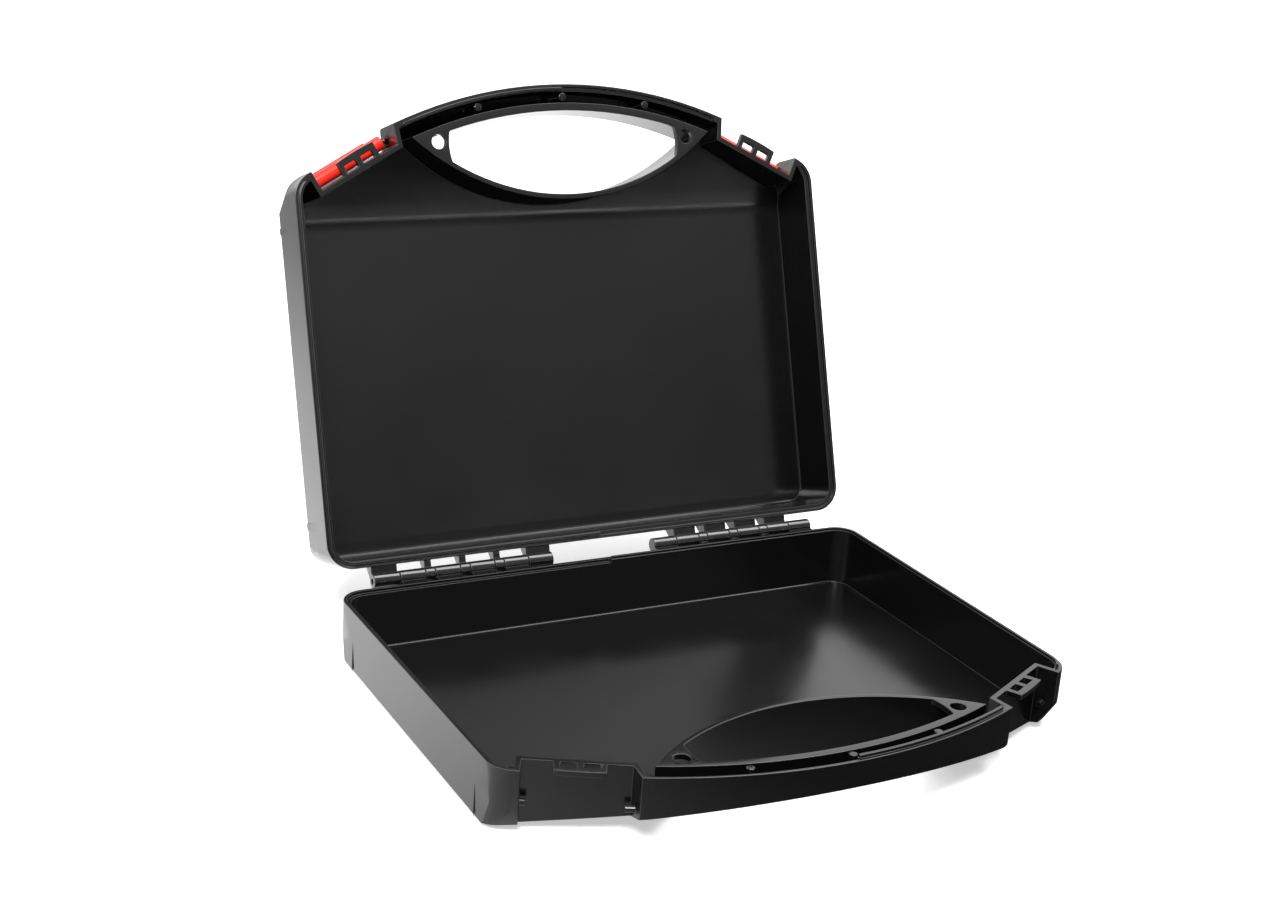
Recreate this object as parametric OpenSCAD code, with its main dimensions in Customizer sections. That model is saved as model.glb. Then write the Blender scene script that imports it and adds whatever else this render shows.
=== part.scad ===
// Hard tool case, standing open: two like mouldings on two hinge rods, with a handle and two clip latches.
// Each half is drawn with its rim plane at z = 0, its back wall at y = 0 and its handle towards -y,
// then placed: the base as drawn, the lid turned over and swung open about the hinge line.
// The origin is on the floor, below the middle of the base's flat underside. +Y is the hinge side.

/* [Shell] */
// Outer width of a half at its rim
case_w = 256; // [236:1:276]
// Distance from the back wall to the top of the handle's arc
case_len = 204.2; // [184:0.1:225]
// Depth of a half, from its rim plane to its flat outer face
shell_depth = 28.5; // [26:0.5:34]
// Length of the sloping front, from the flat outer face to the top of the handle's arc
slope_len = 56.2; // [52:0.1:66]
// Depth of the handle's outer wall at the top of its arc
handle_depth = 11; // [9:0.5:13]
// How far the sloping front bulges beyond a straight slope
slope_bulge = 1.2; // [0.8:0.1:2]
// Radius of the bend from the flat outer face to the sloping front
bend_r = 30; // [10:1:40]
// Width of the rim
rim_w = 3.2; // [3:0.1:4]
// Thickness of the flat face and of the sloping front
floor_t = 2.4; // [2:0.1:3]
// How far the drafted walls come in from the rim to the outer face
draft = 1; // [0.5:0.1:1.4]
// Radius of the two rear corners in plan
rear_r = 11.5; // [8:0.5:14]
// Radius of the rounded edge round the flat outer face
edge_r = 2; // [1:0.25:3]
// Width of the fine seam between the closed halves
seam = 0.2; // [0.1:0.05:0.3]

/* [Shoulders and latch recesses] */
// Distance from the top of the handle's arc back to where the shoulder line meets the side
shoulder_drop = 40.1; // [38:0.1:44]
// Angle of the shoulder line to the back wall, in degrees
shoulder_angle = 27.7; // [26:0.1:29]
// Radius of the front corners in plan
shoulder_r = 12.5; // [10:0.5:14]
// Distance along the shoulder line from the side to the recess
recess_start = 9.2; // [8.6:0.1:11]
// Width of the recess at its inner wall
recess_w = 39.9; // [38:0.1:40.5]
// Depth of the recess below the shoulder line
recess_d = 9.1; // [8.8:0.1:9.6]
// Lean of the recess's wall beside the handle, in degrees
recess_lean = 20; // [14:1:24]
// Thickness of the walls round the recess
recess_wall = 2.2; // [1.8:0.1:2.6]
// Depth below the rim at which the shoulders start to taper inwards
taper_depth = 15.3; // [14:0.1:20]
// Angle of that taper from upright, in degrees
taper_angle = 29; // [20:1:30]
// Radius of the front corners at the outer face, below the taper
foot_r = 8; // [7:0.5:10]
// Width of the thin upright strips on the side walls
strip_w = 3; // [2:0.5:6]
// Distance from the back wall to the rear strips
strip_back = 17; // [14:1:40]
// Distance from the top of the handle's arc back to the front strips
strip_drop = 59.8; // [58:0.2:84]
// Distance of the strips' faces inside the rim's edge
strip_inset = 0.5; // [0.2:0.1:0.6]

/* [Handle] */
// Distance along the shoulder line from the recess's outer end to where the handle's arc meets it
handle_start = 35.5; // [34:0.1:38]
// Distance between the handle's outer arc and the finger frame
grip_gap = 8.3; // [7.6:0.1:9]
// Distance from the top of the handle's arc back to the finger frame's far side
frame_drop = 51.1; // [48:0.1:54]
// Radius of the finger frame's arc beside the handle
frame_top_r = 198; // [190:1:206]
// Radius of the finger frame's arc beside the cavity
frame_back_r = 108; // [102:1:114]
// Wall between the finger opening and the handle's channel
frame_top_w = 3.5; // [2.6:0.1:4]
// Wall between the finger opening and the cavity
frame_back_w = 2.1; // [1.8:0.1:2.6]
// Half the length of the finger opening
opening_half = 56.4; // [52:0.1:57]
// Radius of the bowed ends of the finger opening
opening_end_r = 26; // [20:1:34]
// Distance of each padlock hole from the middle of the handle
hole_x = 61.2; // [61:0.1:62.5]
// Distance from the top of the handle's arc back to each padlock hole
hole_drop = 24.5; // [23:0.1:25.5]
// Radius of the padlock holes
hole_r = 3.2; // [2.4:0.1:3.3]
// Thickness of the plate that each padlock hole goes through
web_t = 2.4; // [2:0.1:4]
// Radius of the small pegs in the handle's channel
peg_r = 1.7; // [1.2:0.1:1.9]
// Distance of the outer pegs from the middle one
peg_pitch = 41.3; // [36:0.1:44]

/* [Rim joint] */
// Distance from the outer face to the rib on one half of the rim
rib_inset = 1.6; // [1.4:0.05:1.7]
// Thickness of that rib
rib_w = 1.3; // [1:0.05:1.4]
// Height of that rib above the rim
rib_h = 1.3; // [0.8:0.1:1.6]
// Clearance between the rib and the other half's step
rib_gap = 0.25; // [0.2:0.05:0.3]

/* [Catch tabs] */
// Width of a catch tab
tab_w = 19; // [16:0.1:22]
// Distance from the recess's outer end to the middle of the tab
tab_mid = 21; // [19.5:0.1:22]
// Gap between the tab's tip and the shoulder line
tab_set_back = 2.1; // [2:0.1:2.6]
// Thickness of a tab
tab_t = 2.2; // [1.6:0.1:2.4]
// How far the tab's outer edge is crowned
tab_crown = 0.4; // [0.2:0.1:0.4]
// Width of each window in a tab
window_w = 5.9; // [4.5:0.1:6.5]
// Length of each window, outwards from the recess's inner wall
window_l = 3.6; // [2.6:0.1:4.2]
// Bar between the two windows
window_bar = 2.6; // [2:0.1:4]

/* [Hinges] */
// Distance from the back wall to the hinge line
hinge_out = 6.2; // [5.9:0.1:7]
// Outer radius of the knuckles
knuckle_r = 3.2; // [2.7:0.1:3.3]
// Radius of the hinge rods
rod_r = 1.25; // [1:0.05:1.5]
// Radial clearance of the rod in the knuckles that turn on it
rod_turn_gap = 0.1; // [0.06:0.01:0.1]
// Radial clearance of the rod in the knuckles that hold it
rod_seat_gap = 0.02; // [0.01:0.01:0.04]
// Distance from one narrow knuckle to the next
knuckle_pitch = 16.2; // [15:0.1:17]
// Width of the wide knuckles
wide_w = 11.4; // [9:0.1:11.8]
// Width of the narrow knuckles
narrow_w = 4.2; // [3.6:0.1:4.4]
// Number of wide knuckles in a hinge
wide_count = 4; // [3:1:4]
// Distance from the middle of the case to the first narrow knuckle's middle
hinge_start = 35.1; // [30:0.1:38]
// Width of the closed end knuckles
ear_w = 7.5; // [6:0.1:9]
// Height of the web that carries a wide knuckle
web_h = 8.5; // [6:0.5:12]
// Height of the rib that carries a narrow knuckle
rib_web_h = 6; // [5:0.5:9]
// Thickness of the rib that carries a narrow knuckle
rib_web_t = 3.2; // [2.4:0.1:3.6]
// Angle of the lid from closed in the standing pose, in degrees
lid_open = 109; // [95:1:112]

/* [Latches] */
// Radius of a latch's barrel
barrel_r = 3.2; // [2.8:0.1:3.4]
// Distance of the pivot inside the shoulder line
pivot_in = 5.5; // [5.3:0.1:5.6]
// Depth of the pivot below the rim plane
pivot_depth = 15.3; // [14.6:0.1:15.6]
// Radius of the pivot stubs on the recess's end walls
stub_r = 1.3; // [1:0.1:1.6]
// Radial clearance of a stub in the latch
stub_gap = 0.1; // [0.06:0.01:0.1]
// How far a stub reaches into the latch
stub_grip = 1.9; // [1.2:0.1:2.6]
// Play between the latch and the recess's end walls
latch_play = 0.4; // [0.3:0.05:0.6]
// Thickness of the latch's plate
plate_t = 2.3; // [1.8:0.1:2.4]
// How far the latch reaches past the seam when it is closed
latch_reach = 10.9; // [9:0.1:14]
// Clearance between the latch and the tabs
catch_gap = 0.3; // [0.2:0.05:0.35]
// How far the hook reaches under the tab
hook_bite = 1.9; // [1:0.1:2.2]
// Height of the hook
hook_h = 2.2; // [1.6:0.1:3]
// Angle of the latches from closed in the standing pose, in degrees
latch_open = 165; // [140:1:166]

/* [Hidden] */
$fn = 64;
overlap = 0.5;
far = 400;
arc_steps = 10;
half_w = case_w / 2;
rim_z = -seam / 2;
inner_depth = shell_depth - floor_t;

// The front's parts keep their distances from the top of the handle's arc.
flat_len = case_len - slope_len;
floor_middle = flat_len / 2;
shoulder_len = case_len - shoulder_drop;
strip_front = case_len - strip_drop;
frame_back = case_len - frame_drop;
hole_len = case_len - hole_drop;

// The sloping front's outer face is a cylinder through the end of the flat face and the handle's edge.
slope_chord = norm([slope_len, shell_depth - handle_depth]);
slope_r = slope_chord * slope_chord / (8 * slope_bulge) + slope_bulge / 2;
slope_turn = atan2(shell_depth - handle_depth, slope_len);
slope_mid = [(flat_len + case_len) / 2, (shell_depth + handle_depth) / 2];
slope_centre = slope_mid - (slope_r - slope_bulge) * [sin(slope_turn), cos(slope_turn)];
bend_turn = acos((shell_depth - bend_r - slope_centre.y) / (slope_r - bend_r));

// The recess lies in a frame of its own: t runs along the shoulder line from the side, n points outwards.
recess_n = -recess_d;
recess_end = recess_start + recess_w;

// The handle's outer arc starts on the shoulder line, at the recess, and has its top in the middle.
handle_t = recess_start + handle_start;
handle_x = half_w - handle_t * cos(shoulder_angle);
handle_fall = shoulder_drop - handle_t * sin(shoulder_angle);
handle_r = (handle_x * handle_x / handle_fall + handle_fall) / 2;
recess_mid_x = half_w - (recess_start + recess_w / 2) * cos(shoulder_angle);
pivot_n = -pivot_in;
tab_n = -tab_set_back;
tab_t_mid = recess_start + tab_mid;
stub_reach = latch_play + stub_grip;
latch_t0 = recess_start + latch_play;
latch_t1 = recess_end - latch_play;
latch_w = latch_t1 - latch_t0;

// Across the hinge, knuckle middles are counted from the middle of the case outwards.
narrow_count = wide_count + 1;
hinge_last = hinge_start + wide_count * knuckle_pitch;
knuckle_gap = (knuckle_pitch - wide_w - narrow_w) / 2;
web_root = (rib_inset - rib_gap) * 0.7;
ear_in_x = hinge_start - narrow_w / 2 - ear_w;
ear_out_x = hinge_last + narrow_w / 2;
rod_end_in = ear_in_x + ear_w / 2;
rod_end_out = ear_out_x + ear_w - 1;
rod_l = rod_end_out - rod_end_in;

function arc(centre, r, from, to) =
    [for (i = [0 : arc_steps]) let (a = from + (to - from) * i / arc_steps) centre + r * [cos(a), sin(a)]];
function mirrored(points) = [for (i = [len(points) - 1 : -1 : 0]) [-points[i].x, points[i].y]];

// Plan outline, in x and distance u from the back wall. inset moves every edge inwards by that much.
// The shoulder line alone can also be moved back, and its corner given another radius.
shoulder_vertex = [half_w, shoulder_len];

module body_plan(inset, corner_r = shoulder_r, back = 0) {
    arc_u = shoulder_len + corner_r * tan(shoulder_angle) - (corner_r + back) / cos(shoulder_angle);
    right = concat(
        arc([half_w - rear_r, rear_r], rear_r - inset, -90, 0),
        arc([half_w - corner_r, arc_u], corner_r - inset, 0, 90 - shoulder_angle),
        [[0, shoulder_len + half_w * tan(shoulder_angle) - (inset + back) / cos(shoulder_angle)]]);
    polygon(concat(right, mirrored(right)));
}

module plan(inset) {
    intersection() {
        body_plan(inset);
        union() {
            translate([0, case_len - handle_r]) circle(r = handle_r - inset, $fn = 256);
            for (sx = [0, 1]) mirror([sx, 0]) translate([recess_mid_x, 0]) square(far);
        }
    }
}

// Points in a recess's own frame, put into the plan on the side given by sx.
module at_recess(sx) {
    mirror([sx < 0 ? 1 : 0, 0, 0])
        translate(shoulder_vertex)
            rotate(90 - shoulder_angle)
                children();
}

// Within that frame x is n and y is t.
module recess_plan(grow) {
    lean = tan(recess_lean);
    side = grow / cos(recess_lean);
    bottom = recess_n - grow;
    top = shell_depth;
    t0 = recess_start - grow;
    polygon([
        [bottom, t0],
        [top, t0],
        [top, recess_end + side + (top - recess_n) * lean],
        [bottom, recess_end + side - grow * lean]]);
}

module both_recesses(grow) {
    for (sx = [-1, 1]) at_recess(sx) recess_plan(grow);
}

module finger_frame(top_inset, back_inset) {
    intersection() {
        translate([0, case_len - grip_gap - frame_top_r]) circle(r = frame_top_r - top_inset, $fn = 256);
        translate([0, frame_back + frame_back_r]) circle(r = frame_back_r - back_inset, $fn = 256);
    }
}

// The finger opening between its bowed ends. A thin plate by the rim closes the frame beyond them.
module finger_opening() {
    end_x = opening_half - opening_end_r;
    intersection() {
        finger_frame(frame_top_w, frame_back_w);
        union() {
            translate([-end_x, 0]) square([2 * end_x, far]);
            for (sx = [-1, 1])
                translate([sx * end_x, hole_len - 1.7]) circle(r = opening_end_r, $fn = 128);
        }
    }
}

// A plan shape in x and u, extruded between two depths below the rim plane.
module deep(from, to) {
    translate([0, 0, -to]) linear_extrude(to - from) mirror([0, 1]) children();
}

// Section across the case: drafted sides with a rounded lower edge.
module cross_section(inset, depth, r, lean) {
    foot = half_w - inset - lean;
    side = concat([[half_w - inset, 0]], arc([foot - r, -depth + r], r, 0, -90));
    polygon(concat([[half_w - inset, rib_h * 2]], side, mirrored(concat([[half_w - inset, rib_h * 2]], side))));
}

// Section along the case, in u and height: drafted back wall, flat face, bend and sloping front.
module long_section(inset, depth, r, lean) {
    back = inset + lean;
    in_r = shell_depth - depth;
    radius = bend_r - in_r;
    high = radius - depth;
    bend = slope_centre.x + (slope_r - bend_r) * sin(bend_turn);
    bend_end = bend + radius * sin(bend_turn);
    intersection() {
        polygon(concat(
            [[inset, 0]],
            [for (p = arc([back + r, -depth + r], r, 180, 270)) p],
            [[far, -depth], [far, rib_h * 2], [inset, rib_h * 2]]));
        union() {
            translate([-far, -far]) square([far + bend, 2 * far]);
            translate([bend, high]) circle(r = radius, $fn = 256);
            translate([bend, high]) square([bend_end - bend, far]);
            intersection() {
                translate([slope_centre.x, -slope_centre.y]) circle(r = slope_r - in_r, $fn = 512);
                translate([bend_end, -far]) square(2 * far);
            }
        }
    }
}

// Everything inside the two sections, over the full height of a half.
module section_block(inset, depth, r, lean) {
    intersection() {
        rotate([90, 0, 0]) translate([0, 0, -overlap]) linear_extrude(far) cross_section(inset, depth, r, lean);
        rotate([90, 0, 90]) translate([0, 0, -far / 2]) linear_extrude(far)
            mirror([1, 0]) long_section(inset, depth, r, lean);
    }
}

// Below a line round each shoulder the shell tapers inwards to a tighter corner.
module tapered_body(inset) {
    hull() {
        deep(-rib_h * 2, taper_depth) body_plan(inset);
        deep(shell_depth, shell_depth + overlap)
            body_plan(inset + draft, foot_r, (shell_depth - taper_depth) * tan(taper_angle));
    }
}

module shell_outside() {
    intersection() {
        deep(-rim_z, shell_depth) plan(0);
        section_block(0, shell_depth, edge_r, draft);
        tapered_body(0);
    }
}

// Thin upright strips on the side walls, without the walls' draft.
module side_strips() {
    deep(2 * edge_r, shell_depth - edge_r)
        for (sx = [0, 1])
            for (u0 = [strip_back, strip_front])
                mirror([sx, 0])
                    translate([half_w - strip_inset - rim_w / 2, u0]) square([rim_w / 2, strip_w]);
}

module shell_cavity() {
    intersection() {
        deep(-overlap, shell_depth) difference() {
            plan(rim_w);
            both_recesses(recess_wall);
            finger_frame(0, 0);
        }
        section_block(rim_w, inner_depth, edge_r, 0);
        tapered_body(rim_w);
    }
}

module rim_band(from, to, short) {
    difference() {
        plan(from);
        plan(to);
        both_recesses(2 * recess_wall + short);
    }
}

module rib_2d() {
    intersection() {
        rim_band(rib_inset, rib_inset + rib_w, rib_gap);
        translate([rib_gap, -far]) square([far, 2 * far]);
    }
}

// The step that takes the rib is open to the inside of the shell.
module step_2d() {
    intersection() {
        rim_band(rib_inset - rib_gap, rim_w + overlap, 0);
        translate([-far, -far]) square([far, 2 * far]);
    }
}

// One catch tab in the recess's frame, lying just below the rim plane.
module tab_plan() {
    w = tab_w / 2;
    tip = [for (i = [-4 : 4]) [tab_n - tab_crown * i * i / 16, tab_t_mid + w * i / 4]];
    difference() {
        polygon(concat([[recess_n - overlap, tab_t_mid + w], [recess_n - overlap, tab_t_mid - w]], tip));
        for (s = [-1, 1])
            translate([recess_n + 0.3, tab_t_mid + s * (window_bar + window_w) / 2 - window_w / 2])
                square([window_l, window_w]);
    }
}

module tabs() {
    translate([0, 0, rim_z - tab_t]) linear_extrude(tab_t) mirror([0, 1])
        for (sx = [-1, 1]) at_recess(sx) tab_plan();
}

// Places a child, drawn with x along n and y along t, at a recess in three dimensions.
module in_recess(sx) {
    mirror([0, 1, 0])
        mirror([sx < 0 ? 1 : 0, 0, 0])
            translate([shoulder_vertex.x, shoulder_vertex.y, 0])
                rotate([0, 0, 90 - shoulder_angle])
                    children();
}

module pivot_stubs() {
    lean_t = (recess_d - pivot_in) * tan(recess_lean);
    for (sx = [-1, 1]) in_recess(sx) translate([pivot_n, 0, -pivot_depth]) {
        translate([0, recess_start - recess_wall / 2, 0])
            rotate([-90, 0, 0]) cylinder(r = stub_r, h = recess_wall / 2 + stub_reach);
        translate([0, latch_t1 - stub_grip, 0])
            rotate([-90, 0, 0]) cylinder(r = stub_r, h = stub_reach + lean_t + recess_wall / 2);
    }
}

module pegs() {
    channel_mid = case_len - (rim_w + grip_gap) / 2;
    for (i = [-1 : 1]) {
        x = i * peg_pitch;
        drop = handle_r - sqrt(handle_r * handle_r - x * x);
        deep(-rim_z, shell_depth) translate([x, channel_mid - drop]) circle(r = peg_r);
    }
}

// Section of a knuckle's web, in y and z: from the back wall out to the hinge line.
module web_section(height) {
    below = rim_z - 0.1;
    polygon([
        [-web_root, below],
        [hinge_out, below],
        [hinge_out + knuckle_r * 0.4, -knuckle_r * 0.5],
        [draft, -height],
        [-web_root, -height]]);
}

module web(x0, w, height) {
    translate([x0, 0, 0]) rotate([90, 0, 90]) linear_extrude(w) web_section(height);
}

module knuckle(x0, w) {
    translate([x0, hinge_out, 0]) rotate([0, 90, 0]) cylinder(r = knuckle_r, h = w);
}

function narrow_x(i) = hinge_start + i * knuckle_pitch;
function wide_x(i) = hinge_start + (i + 0.5) * knuckle_pitch;

// A knuckle on its web, w wide from x0 outwards. The bore runs from x0 + bore_from for bore_l.
module hinge_lug(x0, w, web_t, height, bore_r, bore_from, bore_l) {
    difference() {
        union() {
            knuckle(x0, w);
            web(x0 + (w - web_t) / 2, web_t, height);
        }
        translate([x0 + bore_from, hinge_out, 0]) rotate([0, 90, 0]) cylinder(r = bore_r, h = bore_l);
    }
}

// The wide knuckles stand left of the middle, the narrow ones and their end lugs right of it.
module wide_knuckles() {
    for (i = [0 : wide_count - 1])
        hinge_lug(-wide_x(i) - wide_w / 2, wide_w, wide_w, web_h, rod_r + rod_turn_gap, -1, wide_w + 2);
}

module narrow_knuckles() {
    seat_r = rod_r + rod_seat_gap;
    end_w = ear_w + narrow_w;
    for (i = [1 : wide_count - 1])
        hinge_lug(narrow_x(i) - narrow_w / 2, narrow_w, rib_web_t, rib_web_h, seat_r, -1, narrow_w + 2);
    hinge_lug(ear_in_x, end_w, end_w, rib_web_h, seat_r, ear_w / 2 - 0.3, end_w);
    hinge_lug(ear_out_x - narrow_w, end_w, end_w, rib_web_h, seat_r, -1, end_w + 2);
}

module half_shell() {
    difference() {
        shell_outside();
        shell_cavity();
        deep(-rim_z - overlap, rib_h + rib_gap) step_2d();
        deep(-overlap, far) both_recesses(0);
        deep(-overlap, web_t) finger_opening();
        deep(web_t, far) finger_frame(frame_top_w, frame_back_w);
        for (sx = [-1, 1])
            translate([sx * hole_x, -hole_len, -web_t - 1]) cylinder(r = hole_r, h = web_t + 2);
    }
    translate([0, 0, rim_z - overlap]) linear_extrude(rib_h + overlap) mirror([0, 1]) rib_2d();
    side_strips();
    inside_shell() pegs();
    inside_shell() pivot_stubs();
    tabs();
    wide_knuckles();
    narrow_knuckles();
}

module inside_shell() {
    intersection() {
        section_block(0, shell_depth, edge_r, draft);
        children();
    }
}

// Section of a latch, closed, in n and height above the lid's rim plane, with the pivot on its own circle.
module latch_section() {
    inner = tab_n + catch_gap;
    outer = inner + plate_t;
    hook_top = tab_t + seam + catch_gap;
    polygon([
        [pivot_n + barrel_r * cos(10), -pivot_depth],
        [outer, -pivot_depth / 3],
        [outer, latch_reach - 3],
        [outer + 1, latch_reach],
        [outer - 1, latch_reach],
        [inner, latch_reach - 4],
        [inner, hook_top + hook_h],
        [inner - hook_bite / 2, hook_top + hook_h],
        [inner - hook_bite, hook_top],
        [inner, hook_top],
        [inner, -pivot_depth / 2],
        [pivot_n + barrel_r * cos(50), -pivot_depth + barrel_r * sin(50)],
        [pivot_n, -pivot_depth]]);
}

// A latch in its recess's frame, turned about its pivot by the angle from closed.
module latch_solid(angle) {
    translate([pivot_n, latch_t0, -pivot_depth])
        rotate([0, angle, 0])
            difference() {
                union() {
                    rotate([-90, 0, 0]) cylinder(r = barrel_r, h = latch_w);
                    translate([-pivot_n, 0, pivot_depth])
                        rotate([-90, 0, 0]) mirror([0, 1, 0]) linear_extrude(latch_w) latch_section();
                }
                for (t0 = [-1, latch_w - stub_grip - 0.3])
                    translate([0, t0, 0]) rotate([-90, 0, 0]) cylinder(r = stub_r + stub_gap, h = stub_grip + 1.3);
            }
}

module hinge_rod() {
    translate([rod_end_in, hinge_out, 0]) rotate([0, 90, 0]) cylinder(r = rod_r, h = rod_l);
}

module in_base() {
    translate([0, floor_middle, shell_depth]) children();
}

module in_lid() {
    in_base() translate([0, hinge_out, 0]) rotate([-lid_open, 0, 0]) translate([0, -hinge_out, 0])
        rotate([0, 180, 0]) children();
}

module base_shell() {
    color("#1d1d1f") in_base() half_shell();
}

module lid_shell() {
    color("#242426") in_lid() half_shell();
}

module left_hinge_rod() {
    color("#8d9093") in_lid() hinge_rod();
}

module right_hinge_rod() {
    color("#8d9093") in_base() hinge_rod();
}

module left_latch() {
    color("#ee3a24") in_lid() in_recess(1) latch_solid(latch_open);
}

module right_latch() {
    color("#ee3a24") in_lid() in_recess(-1) latch_solid(latch_open);
}

base_shell();
lid_shell();
left_hinge_rod();
right_hinge_rod();
left_latch();
right_latch();
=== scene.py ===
import math

import bmesh
import bpy
import numpy as np
from mathutils import Matrix, Vector


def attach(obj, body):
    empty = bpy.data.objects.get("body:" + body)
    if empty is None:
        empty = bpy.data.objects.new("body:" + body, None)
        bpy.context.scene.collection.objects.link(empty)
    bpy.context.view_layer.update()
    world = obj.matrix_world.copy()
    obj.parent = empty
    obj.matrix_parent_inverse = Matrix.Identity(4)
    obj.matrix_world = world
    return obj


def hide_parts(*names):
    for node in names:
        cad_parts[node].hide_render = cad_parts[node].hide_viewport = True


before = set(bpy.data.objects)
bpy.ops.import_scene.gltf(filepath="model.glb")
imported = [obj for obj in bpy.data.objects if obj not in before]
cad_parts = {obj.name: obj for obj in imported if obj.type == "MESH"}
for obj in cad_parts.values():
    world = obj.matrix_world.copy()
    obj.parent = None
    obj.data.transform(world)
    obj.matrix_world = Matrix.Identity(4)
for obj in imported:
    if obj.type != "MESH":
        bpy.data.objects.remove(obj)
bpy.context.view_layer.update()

# Camera. A 55 mm lens on a 36 mm frame, two thirds of a metre in front of the open case and a third of a
# metre up, to its left, with the slight roll of a hand-held photograph.
EYE = (-0.38951, -0.64852, 0.35939)
AZIMUTH, ELEVATION, ROLL = (math.radians(angle) for angle in (-29.081, 18.870, 4.2137))
LENS_MM = 55.454


def camera_axes():
    """Right, up and back of a level camera turned by azimuth and elevation, then rolled about its view line."""
    back = np.array([math.sin(AZIMUTH) * math.cos(ELEVATION), -math.cos(AZIMUTH) * math.cos(ELEVATION),
                     math.sin(ELEVATION)])
    right = np.array([math.cos(AZIMUTH), math.sin(AZIMUTH), 0.0])
    up = np.cross(back, right)
    return np.column_stack((math.cos(ROLL) * right + math.sin(ROLL) * up,
                            math.cos(ROLL) * up - math.sin(ROLL) * right, back))


camera = bpy.data.objects.new("camera", bpy.data.cameras.new("camera"))
bpy.context.scene.collection.objects.link(camera)
bpy.context.scene.camera = camera
camera.data.sensor_width = 36
camera.data.lens = LENS_MM
camera.data.clip_start = 0.01
camera.matrix_world = Matrix.Translation(EYE) @ Matrix(camera_axes()).to_4x4()

# Base and lid shells. Two like mouldings in black polypropylene, each in one shot: walls and floor, finger frame,
# handle channel, rim rib or step, catch tabs, pivot stubs and hinge knuckles. The lid is the same moulding
# turned over. Their CAD solids are kept, with the small radii that a mould's edges have.
MM = 0.001
# The weld joins the solid's loose triangles, and a rounded edge is a face 0.4 mm wide.
WELD_MM, EDGE_MM, EDGE_ANGLE = 0.002, 0.4, math.radians(40)
GRAIN_MM, FLOW_MM, STREAK_MM = 0.35, 60, (55.6, 6.25, 16.7)
GLOSS, EDGE_GLOSS, GLOSS_DRIFT, SCUFFING = 0.13, 0.3, 0.08, 0.05
SHELL_BLACK, SHELL_BLACK_PALE = "#070708", "#0b0b0c"
# The rounded edges' colours are painted paler than the shell's black: a painted highlight along the rims.
SHELL_EDGE_HIGHLIGHT, SHELL_EDGE_HIGHLIGHT_PALE = "#151516", "#202021"


def linear(hex_colour):
    """An sRGB hex colour as linear red, green, blue and alpha."""
    c = np.array([int(hex_colour[i:i + 2], 16) for i in (1, 3, 5)]) / 255
    return (*np.where(c <= 0.04045, c / 12.92, ((c + 0.055) / 1.055) ** 2.4), 1)


def add(tree, kind, settings=None, values=None, links=None):
    """Adds a node with its settings, its socket values and its links to a node tree."""
    made = tree.nodes.new(kind)
    for name, value in (settings or {}).items():
        setattr(made, name, value)
    for name, value in (values or {}).items():
        made.inputs[name].default_value = value
    for name, socket in (links or {}).items():
        tree.links.new(socket, made.inputs[name])
    return made


def new_material(name):
    """An empty node-based material and its tree."""
    material = bpy.data.materials.new(name)
    material.use_nodes = True
    material.node_tree.nodes.clear()
    return material, material.node_tree


def moulded_polypropylene(name, colour_hex, pale_hex, roughness):
    """Black polypropylene from a finely eroded mould: near black with paler clouds, a soft sheen that drifts with
    the melt's flow and is lightly scuffed, and a fine even grain in the highlights. The real grain is taken to be
    finer than this: it is drawn about a pixel wide, so that it shows in a closer view."""
    material, tree = new_material(name)
    place = add(tree, "ShaderNodeTexCoord").outputs["Object"]
    grain = add(tree, "ShaderNodeTexNoise", values={"Scale": 1 / (GRAIN_MM * MM), "Detail": 2, "Roughness": 0.6},
                links={"Vector": place})
    flow = add(tree, "ShaderNodeTexNoise", values={"Scale": 1 / (FLOW_MM * MM), "Detail": 3, "Roughness": 0.55},
               links={"Vector": place})
    streaks_place = add(tree, "ShaderNodeMapping", values={"Scale": [1 / (size * MM) for size in STREAK_MM]},
                        links={"Vector": place})
    streaks = add(tree, "ShaderNodeTexNoise", values={"Scale": 1, "Detail": 4, "Roughness": 0.7},
                  links={"Vector": streaks_place.outputs["Vector"]})
    colour = add(tree, "ShaderNodeMix", settings={"data_type": "RGBA"}, values={"A": linear(colour_hex),
                 "B": linear(pale_hex)}, links={"Factor": flow.outputs["Fac"]})
    sheen = add(tree, "ShaderNodeMapRange", values={"From Min": 0.3, "From Max": 0.7, "To Min": roughness,
                "To Max": roughness + GLOSS_DRIFT}, links={"Value": flow.outputs["Fac"]})
    scuffed = add(tree, "ShaderNodeMath", settings={"operation": "MULTIPLY_ADD"}, values={1: SCUFFING},
                  links={0: streaks.outputs["Fac"], 2: sheen.outputs["Result"]})
    relief = add(tree, "ShaderNodeBump", values={"Strength": 0.03, "Distance": 0.02 * MM},
                 links={"Height": grain.outputs["Fac"]})
    surface = add(tree, "ShaderNodeBsdfPrincipled", values={"IOR": 1.52},
                  links={"Base Color": colour.outputs["Result"], "Roughness": scuffed.outputs["Value"],
                         "Normal": relief.outputs["Normal"]})
    add(tree, "ShaderNodeOutputMaterial", links={"Surface": surface.outputs["BSDF"]})
    return material


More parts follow.
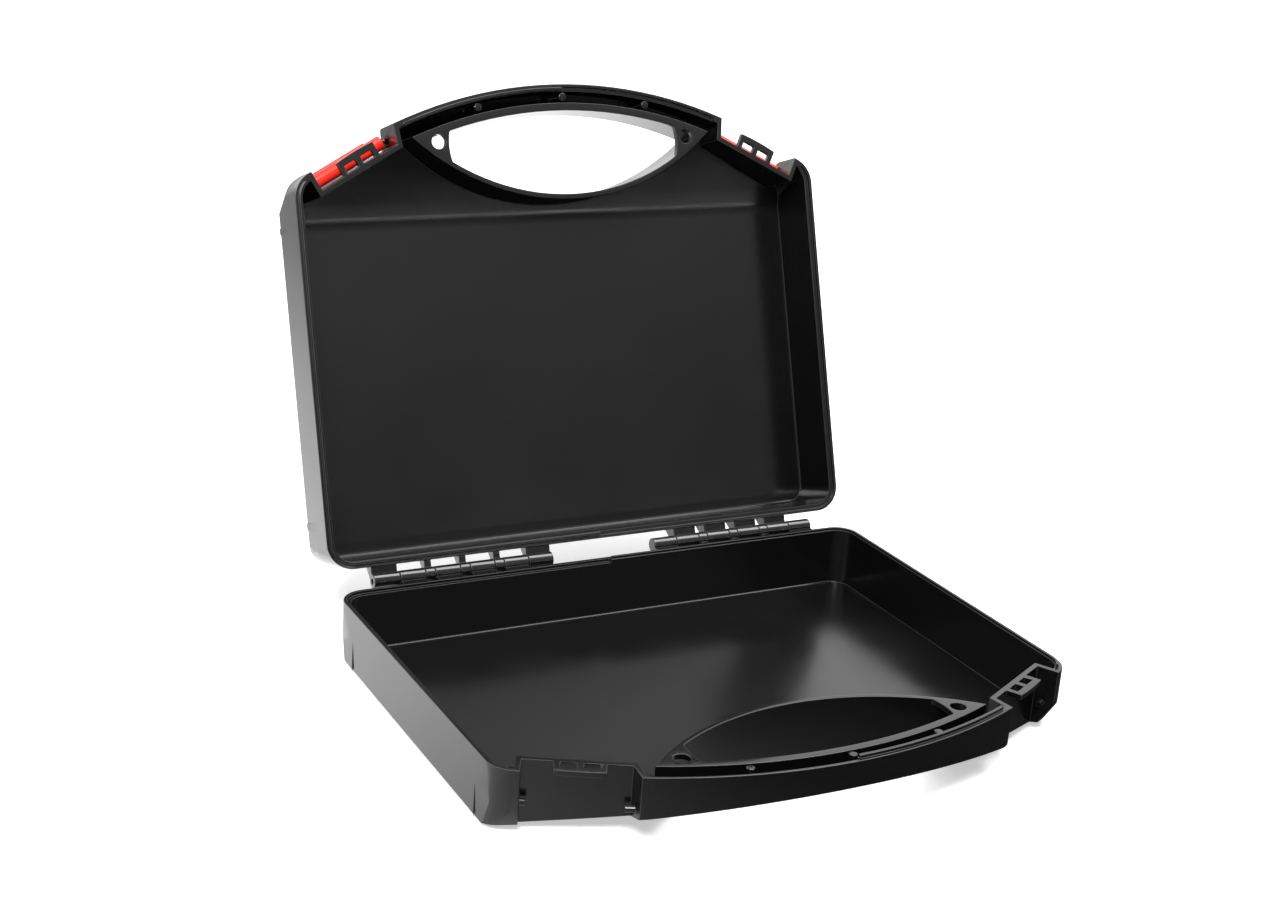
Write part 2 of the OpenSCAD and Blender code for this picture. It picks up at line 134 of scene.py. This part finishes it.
def smooth_by_angle():
    """Geometry nodes that shade a mesh smooth, and keep the edges sharper than EDGE_ANGLE."""
    tree = bpy.data.node_groups.new("smooth_by_angle", "GeometryNodeTree")
    tree.interface.new_socket("Geometry", in_out="INPUT", socket_type="NodeSocketGeometry")
    tree.interface.new_socket("Geometry", in_out="OUTPUT", socket_type="NodeSocketGeometry")
    start = add(tree, "NodeGroupInput")
    angle = add(tree, "GeometryNodeInputMeshEdgeAngle")
    soft = add(tree, "FunctionNodeCompare", settings={"operation": "LESS_EQUAL"}, values={1: EDGE_ANGLE},
               links={0: angle.outputs["Unsigned Angle"]})
    faces = add(tree, "GeometryNodeSetShadeSmooth", settings={"domain": "FACE"},
                links={"Geometry": start.outputs["Geometry"]})
    edges = add(tree, "GeometryNodeSetShadeSmooth", settings={"domain": "EDGE"},
                links={"Geometry": faces.outputs["Geometry"], "Shade Smooth": soft.outputs["Result"]})
    add(tree, "NodeGroupOutput", links={"Geometry": edges.outputs["Geometry"]})
    return tree


black_plastic = moulded_polypropylene("moulded_polypropylene_black", SHELL_BLACK, SHELL_BLACK_PALE, GLOSS)
# The same plastic on the rounded edges, painted paler and given a duller gloss: a painted highlight, a thin light
# line round the rims, ribs and openings.
edge_highlight_plastic = moulded_polypropylene("moulded_polypropylene_painted_edge_highlight", SHELL_EDGE_HIGHLIGHT, SHELL_EDGE_HIGHLIGHT_PALE, EDGE_GLOSS)
soft_shading = smooth_by_angle()
for name in ("base_shell", "lid_shell"):
    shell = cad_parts[name]
    shell.data.materials.clear()
    shell.data.materials.append(black_plastic)
    shell.data.materials.append(edge_highlight_plastic)
    weld = shell.modifiers.new("weld", "WELD")
    weld.merge_threshold = WELD_MM * MM
    rounding = shell.modifiers.new("edge_radii", "BEVEL")
    rounding.offset_type = "WIDTH"
    rounding.width = EDGE_MM * MM
    rounding.segments = 2
    # The rounded edges take the second, paler plastic: a painted highlight.
    rounding.material = 1
    rounding.limit_method = "ANGLE"
    rounding.angle_limit = EDGE_ANGLE
    rounding.use_clamp_overlap = False
    rounding.miter_outer = "MITER_ARC"
    shell.modifiers.new("soft_shading", "NODES").node_group = soft_shading
    flat = shell.modifiers.new("flat_faces", "WEIGHTED_NORMAL")
    flat.keep_sharp = True
    flat.weight = 100

# Latches. Each is one moulding in glossy red polypropylene: a barrel that turns on two stubs in the lid's recess,
# a plate with a flared lip to pull on, and a hook that snaps under the base's catch tab. In the standing pose
# they hang folded back over the lid's outside.
LATCH_RED, LATCH_DEEP = "#f4301f", "#dd2013"
WAVE_MM, CLOUD_MM = 1.43, 11.1
# Where the hinge line runs in the frame, and how far in front of a half's back wall the frame's middle lies.
HINGE_Y, RIM_Z, FLOOR_MIDDLE = 80.2 * MM, 28.5 * MM, 74 * MM
LID_OPEN, LATCH_OPEN, SHOULDER_ANGLE = (math.radians(angle) for angle in (109, 165, 27.7))
# Millimetres on a half case: the shoulder line and its recess, the pivot below the rim and inside that line, the
# barrel and the sockets in its ends, then the plate, its reach past the rim and the hook over the catch tab.
HALF_WIDTH, SHOULDER_LENGTH = 128, 164.1
RECESS_START, RECESS_WIDTH, LATCH_PLAY = 9.2, 39.9, 0.4
PIVOT_IN, PIVOT_DEPTH, BARREL = 5.5, 15.3, 3.2
SOCKET, SOCKET_DEPTH, SOCKET_CHAMFER, END_ROUNDING = 1.4, 2.1, 0.15, 0.45
PLATE_IN, PLATE_THICK, REACH, LIP_FLARE, LIP_HEIGHT = -1.8, 2.3, 10.9, 0.95, 3.4
TAB_TOP, HOOK_HEIGHT, HOOK_BITE = 2.7, 2.2, 1.9


def lid_place(points):
    """Turns points of a half case, rim up and hinge at the back, over and open into the standing lid."""
    x, y, z = -points[..., 0], points[..., 1] * MM - (HINGE_Y - FLOOR_MIDDLE), -points[..., 2] * MM
    c, s = math.cos(LID_OPEN), math.sin(LID_OPEN)
    return np.stack([x * MM, y * c + z * s + HINGE_Y, z * c - y * s + RIM_Z], -1)


def rounded(corners, radii, steps=6):
    """A closed outline whose corners are replaced by curves: each is a parabola from one side of its corner to the
    other, and starts at the radius over the tangent of half the corner's angle, or just short of half a side."""
    corners = np.asarray(corners, float)
    before = np.roll(corners, 1, 0) - corners
    after = np.roll(corners, -1, 0) - corners
    before_length = np.linalg.norm(before, axis=1, keepdims=True)
    after_length = np.linalg.norm(after, axis=1, keepdims=True)
    before, after = before / before_length, after / after_length
    half = np.arccos(np.clip((before * after).sum(1), -1, 1))[:, None] / 2
    reach = np.asarray(radii, float)[:, None] / np.tan(half)
    reach = np.minimum(reach, 0.49 * np.minimum(before_length, after_length))
    start, end = corners + before * reach, corners + after * reach
    share = np.linspace(0, 1, steps)[None, :, None]
    ring = ((1 - share) ** 2 * start[:, None] + 2 * share * (1 - share) * corners[:, None]
            + share ** 2 * end[:, None])
    return ring.reshape(-1, 2)


def carried(outline, stations, insets):
    """An outline carried along a straight line: at each station it is drawn in by that inset, along its normals."""
    ahead = np.roll(outline, -1, 0) - np.roll(outline, 1, 0)
    normal = np.stack([ahead[:, 1], -ahead[:, 0]], 1)
    normal /= np.linalg.norm(normal, axis=1, keepdims=True) + 1e-12
    area = np.sum(outline[:, 0] * np.roll(outline[:, 1], -1) - outline[:, 1] * np.roll(outline[:, 0], -1))
    normal *= np.sign(area)
    rings = outline[None] - normal[None] * np.asarray(insets)[:, None, None]
    along = np.broadcast_to(np.asarray(stations)[:, None, None], (*rings.shape[:2], 1))
    return np.concatenate([rings, along], -1)


def turned(radii, stations, columns=40):
    """A profile turned about a straight axis: at each station a ring of that radius, the axis being the last
    coordinate."""
    angles = np.linspace(0, 2 * math.pi, columns, endpoint=False)
    along = np.broadcast_to(np.asarray(stations, float)[:, None], (len(stations), columns))
    return np.stack([np.outer(radii, np.cos(angles)), np.outer(radii, np.sin(angles)), along], -1)


def ring_faces(rows, columns, first=0):
    """Quads between rings of points numbered from the first, with one flat face over each end."""
    row, column = np.meshgrid(np.arange(rows - 1), np.arange(columns), indexing="ij")
    here, beside = row * columns + column, row * columns + (column + 1) % columns
    quads = np.stack([here, here + columns, beside + columns, beside], -1).reshape(-1, 4) + first
    ends = np.stack([np.arange(columns), rows * columns - 1 - np.arange(columns)]) + first
    return quads.tolist() + ends.tolist()


def new_piece(name, points, faces, material):
    """A closed mesh with outward faces, and its material."""
    mesh = bpy.data.meshes.new(name)
    mesh.from_pydata(points.reshape(-1, 3).tolist(), [], faces)
    solid = bmesh.new()
    solid.from_mesh(mesh)
    bmesh.ops.recalc_face_normals(solid, faces=solid.faces[:])
    solid.to_mesh(mesh)
    solid.free()
    mesh.materials.append(material)
    piece = bpy.data.objects.new(name, mesh)
    bpy.context.scene.collection.objects.link(piece)
    piece.modifiers.new("soft_shading", "NODES").node_group = soft_shading
    return piece


def glossy_polypropylene():
    """Red polypropylene from a polished mould: a saturated orange red with slightly deeper clouds, a clear gloss
    that dulls a little with the same clouds, and a faint orange-peel wave in the highlights."""
    material, tree = new_material("moulded_polypropylene_red")
    place = add(tree, "ShaderNodeTexCoord").outputs["Object"]
    wave = add(tree, "ShaderNodeTexNoise", values={"Scale": 1 / (WAVE_MM * MM), "Detail": 2}, links={"Vector": place})
    cloud = add(tree, "ShaderNodeTexNoise", values={"Scale": 1 / (CLOUD_MM * MM), "Detail": 3}, links={"Vector": place})
    colour = add(tree, "ShaderNodeMix", settings={"data_type": "RGBA"}, values={"A": linear(LATCH_RED),
                 "B": linear(LATCH_DEEP)}, links={"Factor": cloud.outputs["Fac"]})
    rough = add(tree, "ShaderNodeMapRange", values={"To Min": 0.24, "To Max": 0.4},
                links={"Value": cloud.outputs["Fac"]})
    relief = add(tree, "ShaderNodeBump", values={"Strength": 0.08, "Distance": 0.05 * MM},
                 links={"Height": wave.outputs["Fac"]})
    surface = add(tree, "ShaderNodeBsdfPrincipled", values={"IOR": 1.5},
                  links={"Base Color": colour.outputs["Result"], "Roughness": rough.outputs["Result"],
                         "Normal": relief.outputs["Normal"]})
    add(tree, "ShaderNodeOutputMaterial", links={"Surface": surface.outputs["BSDF"]})
    return material


def latch_outline():
    """The plate's section, closed: distance out from the pivot against height over it, from inside the barrel up
    the plate's outside, over the lip and down its inside past the hook."""
    angles = np.radians([-4, 60])
    root = np.stack([-PIVOT_IN + 0.75 * BARREL * np.cos(angles), -PIVOT_DEPTH + 0.75 * BARREL * np.sin(angles)], 1)
    outer = PLATE_IN + PLATE_THICK
    corners = [[outer, -PIVOT_DEPTH / 3], [outer, REACH - LIP_HEIGHT], [outer + LIP_FLARE, REACH], [outer - 1, REACH],
               [PLATE_IN, REACH - 4], [PLATE_IN, TAB_TOP + HOOK_HEIGHT],
               [PLATE_IN - HOOK_BITE / 2, TAB_TOP + HOOK_HEIGHT], [PLATE_IN - HOOK_BITE, TAB_TOP],
               [PLATE_IN, TAB_TOP], [PLATE_IN, -PIVOT_DEPTH / 2]]
    radii = [6, 3, 0.7, 0.7, 3, 0.5, 0.6, 0.3, 0.3, 6]
    arcs = rounded(np.concatenate([root[:1], corners, root[1:]]), [0.01, *radii, 0.01])
    return arcs[5:-5] + [PIVOT_IN, PIVOT_DEPTH]


def seated(section, side):
    """Swings a latch section about its pivot, lays it along the shoulder line and stands it with the lid."""
    out, high, along = section[..., 0], section[..., 1], section[..., 2] + RECESS_START + LATCH_PLAY
    turned_out = out * math.cos(LATCH_OPEN) + high * math.sin(LATCH_OPEN) - PIVOT_IN
    turned_high = high * math.cos(LATCH_OPEN) - out * math.sin(LATCH_OPEN) - PIVOT_DEPTH
    lean = math.radians(90) - SHOULDER_ANGLE
    across = turned_out * math.cos(lean) - along * math.sin(lean) + HALF_WIDTH
    back = turned_out * math.sin(lean) + along * math.cos(lean) + SHOULDER_LENGTH
    return lid_place(np.stack([side * across, -back, turned_high], -1)).reshape(-1, 3)


red_plastic = glossy_polypropylene()
latch_width = RECESS_WIDTH - 2 * LATCH_PLAY
quarter = np.radians(np.linspace(0, 90, 6))
inward, sideways = END_ROUNDING * (1 - np.sin(quarter)), END_ROUNDING * (1 - np.cos(quarter))
plate = carried(latch_outline(), np.concatenate([sideways, latch_width - sideways[::-1]]),
                np.concatenate([inward, inward[::-1]]))
end_radii = np.concatenate([[0.05, SOCKET - 0.1, SOCKET, SOCKET, SOCKET + SOCKET_CHAMFER], BARREL - inward])
end_stations = np.concatenate([[SOCKET_DEPTH, SOCKET_DEPTH, SOCKET_DEPTH - 0.1, SOCKET_CHAMFER, 0], sideways])
barrel = turned(np.concatenate([end_radii, end_radii[::-1]]),
                np.concatenate([end_stations, latch_width - end_stations[::-1]]))
latch_faces = ring_faces(*plate.shape[:2]) + ring_faces(*barrel.shape[:2], first=plate[..., 0].size)
for side, name in ((1, "left"), (-1, "right")):
    latch = new_piece(name + "_latch_moulding", np.concatenate([seated(plate, side), seated(barrel, side)]),
                      latch_faces, red_plastic)
    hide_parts(name + "_latch")
    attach(latch, name + "_latch")

# Hinge rods. Two straight lengths of drawn steel wire along the back: the left one is a press fit in the lid's
# knuckles and turns in the base's, the right one is held by the base. Each end is cropped and tumbled.
ROD_RADIUS, ROD_INNER_END, ROD_OUTER_END = 1.25, 29.25, 108.5
END_SHARE, END_MM = np.array([0.04, 0.72, 0.93, 1]), np.array([0, 0, 0.12, 0.4])
STEEL, STEEL_DULL = "#bdbbb6", "#8f8d89"
DIE_LINE_MM, DIE_LINE_LENGTH_MM, PATCH_MM = 0.167, 25, 8.33


def drawn_steel():
    """Bright drawn wire: pale grey metal, fine lines along its length from the die, and duller oiled patches."""
    material, tree = new_material("drawn_steel")
    place = add(tree, "ShaderNodeTexCoord").outputs["Object"]
    stretched = add(tree, "ShaderNodeMapping", links={"Vector": place}, values={"Scale": (
        1 / (DIE_LINE_LENGTH_MM * MM), 1 / (DIE_LINE_MM * MM), 1 / (DIE_LINE_MM * MM))})
    lines = add(tree, "ShaderNodeTexNoise", values={"Scale": 1, "Detail": 3},
                links={"Vector": stretched.outputs["Vector"]})
    patches = add(tree, "ShaderNodeTexNoise", values={"Scale": 1 / (PATCH_MM * MM), "Detail": 3},
                  links={"Vector": place})
    colour = add(tree, "ShaderNodeMix", settings={"data_type": "RGBA"}, values={"A": linear(STEEL),
                 "B": linear(STEEL_DULL)}, links={"Factor": patches.outputs["Fac"]})
    rough = add(tree, "ShaderNodeMapRange", values={"To Min": 0.2, "To Max": 0.42},
                links={"Value": lines.outputs["Fac"]})
    relief = add(tree, "ShaderNodeBump", values={"Strength": 0.15, "Distance": 0.03 * MM},
                 links={"Height": lines.outputs["Fac"]})
    surface = add(tree, "ShaderNodeBsdfPrincipled", values={"Metallic": 1},
                  links={"Base Color": colour.outputs["Result"], "Roughness": rough.outputs["Result"],
                         "Normal": relief.outputs["Normal"]})
    add(tree, "ShaderNodeOutputMaterial", links={"Surface": surface.outputs["BSDF"]})
    return material


steel = drawn_steel()
rod = turned(ROD_RADIUS * np.concatenate([END_SHARE, END_SHARE[::-1]]),
             np.concatenate([ROD_INNER_END + END_MM, ROD_OUTER_END - END_MM[::-1]]))
for side, name, holder in ((-1, "left", "lid"), (1, "right", "base")):
    points = np.stack([side * rod[..., 2], rod[..., 0], rod[..., 1]], -1) * MM + [0, HINGE_Y, RIM_Z]
    wire = new_piece(name + "_hinge_rod_wire", points, ring_faces(*rod.shape[:2]), steel)
    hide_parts(name + "_hinge_rod")
    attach(wire, holder)

# Floor. A white table that runs back into a white ground, and keeps the case's shadow. It shows the lens a plain
# white; gloss on the case sees it brighter at the back and to the left, and dim in front, as in the photograph.
FLOOR_SIZE = 12
# How fast the brightness that gloss sees rises along X and along Y.
RISE_X, RISE_Y = -1.2, 1.3
floor_mesh = bpy.data.meshes.new("floor")
corner = FLOOR_SIZE / 2
floor_mesh.from_pydata([(-corner, -corner, 0), (corner, -corner, 0), (corner, corner, 0), (-corner, corner, 0)], [],
                       [(0, 1, 2, 3)])
floor = bpy.data.objects.new("floor", floor_mesh)
bpy.context.scene.collection.objects.link(floor)
white_table, tree = new_material("white_table")
place = add(tree, "ShaderNodeTexCoord").outputs["Object"]
spot = add(tree, "ShaderNodeSeparateXYZ", links={"Vector": place})
behind = add(tree, "ShaderNodeMath", settings={"operation": "MULTIPLY"}, values={1: RISE_Y},
             links={0: spot.outputs["Y"]})
toward = add(tree, "ShaderNodeMath", settings={"operation": "MULTIPLY_ADD"}, values={1: RISE_X},
             links={0: spot.outputs["X"], 2: behind.outputs["Value"]})
rising = add(tree, "ShaderNodeMapRange", settings={"interpolation_type": "SMOOTHSTEP"},
             values={"From Min": -0.25, "From Max": 0.35, "To Min": 0.05, "To Max": 1.9},
             links={"Value": toward.outputs["Value"]})
fading = add(tree, "ShaderNodeMapRange", values={"From Min": 0.5, "From Max": 1.4, "To Min": 1, "To Max": 0.4},
             links={"Value": toward.outputs["Value"]})
glow = add(tree, "ShaderNodeMath", settings={"operation": "MULTIPLY"},
           links={0: rising.outputs["Result"], 1: fading.outputs["Result"]})
ray = add(tree, "ShaderNodeLightPath")
shiny = add(tree, "ShaderNodeMath", settings={"operation": "MAXIMUM"},
            links={0: ray.outputs["Is Glossy Ray"], 1: ray.outputs["Is Transmission Ray"]})
away = add(tree, "ShaderNodeVectorMath", settings={"operation": "LENGTH"}, links={0: place})
sweep = add(tree, "ShaderNodeMapRange", settings={"interpolation_type": "SMOOTHSTEP"},
            values={"From Min": 0.25, "From Max": 1.1, "To Min": 0.5, "To Max": 1.0},
            links={"Value": away.outputs["Value"]})
backlit = add(tree, "ShaderNodeMath", settings={"operation": "MULTIPLY"},
              links={0: ray.outputs["Is Camera Ray"], 1: sweep.outputs["Result"]})
glowing = add(tree, "ShaderNodeEmission", links={"Strength": backlit.outputs["Value"]})
matte = add(tree, "ShaderNodeBsdfDiffuse", values={"Color": (0.8, 0.8, 0.8, 1)})
table = add(tree, "ShaderNodeAddShader", links={0: glowing.outputs["Emission"], 1: matte.outputs["BSDF"]})
mirrored = add(tree, "ShaderNodeEmission", links={"Strength": glow.outputs["Value"]})
both = add(tree, "ShaderNodeMixShader", links={0: shiny.outputs["Value"], 1: table.outputs["Shader"],
                                               2: mirrored.outputs["Emission"]})
add(tree, "ShaderNodeOutputMaterial", links={"Surface": both.outputs["Shader"]})
floor_mesh.materials.append(white_table)

# Light. A soft box overhead, a weak one at the back left, a strong one high at the front left, and a low narrow strip
# in front that draws a line along the lid's bend. Gloss sees a bright room behind the case and a dim one in front.
world = bpy.data.worlds.new("studio")
bpy.context.scene.world = world
world.use_nodes = True
tree = world.node_tree
tree.nodes.clear()
direction = add(tree, "ShaderNodeTexCoord").outputs["Generated"]
parts = add(tree, "ShaderNodeSeparateXYZ", links={"Vector": direction})
front = add(tree, "ShaderNodeMapRange", settings={"interpolation_type": "SMOOTHSTEP"},
            values={"From Min": 0.12, "From Max": 0.5, "To Min": 0.1, "To Max": 0.8},
            links={"Value": parts.outputs["Z"]})
room = add(tree, "ShaderNodeMapRange", settings={"interpolation_type": "SMOOTHSTEP"},
           values={"From Min": -0.5, "From Max": 0.4, "To Max": 1.5},
           links={"Value": parts.outputs["Y"], "To Min": front.outputs["Result"]})
ray = add(tree, "ShaderNodeLightPath")
shiny = add(tree, "ShaderNodeMath", settings={"operation": "MAXIMUM"},
            links={0: ray.outputs["Is Glossy Ray"], 1: ray.outputs["Is Transmission Ray"]})
inside = add(tree, "ShaderNodeMix", settings={"data_type": "FLOAT"}, values={"A": 0.15},
             links={"Factor": shiny.outputs["Value"], "B": room.outputs["Result"]})
seen = add(tree, "ShaderNodeMath", settings={"operation": "MAXIMUM"},
           links={0: ray.outputs["Is Camera Ray"], 1: inside.outputs["Result"]})
white = add(tree, "ShaderNodeBackground", values={"Color": (1, 1, 1, 1)}, links={"Strength": seen.outputs["Value"]})
add(tree, "ShaderNodeOutputWorld", links={"Surface": white.outputs["Background"]})


def softbox(name, place, aim, width, height, power):
    """A rectangular lamp at a place, turned towards the point that it lights."""
    lamp = bpy.data.lights.new(name, "AREA")
    lamp.energy = power
    lamp.shape = "RECTANGLE"
    lamp.size, lamp.size_y = width, height
    holder = bpy.data.objects.new(name, lamp)
    bpy.context.scene.collection.objects.link(holder)
    holder.location = place
    holder.rotation_euler = (Vector(aim) - Vector(place)).to_track_quat("-Z", "Y").to_euler()


softbox("top_softbox", (0.5, 0.05, 1.35), (0, 0.05, 0.05), 0.9, 0.9, 24)
softbox("left_softbox", (-1.1, 0.75, 0.5), (-0.1, 0.05, 0.1), 0.9, 0.7, 5)
softbox("front_left_softbox", (-0.8, -1.0, 1.5), (0, 0.05, 0.1), 0.7, 0.7, 52)
softbox("front_strip", (1.0, -1.9, 0.24), (0, 0.1, 0.12), 1.6, 0.05, 2.4)
bpy.context.scene.view_settings.view_transform = "Standard"
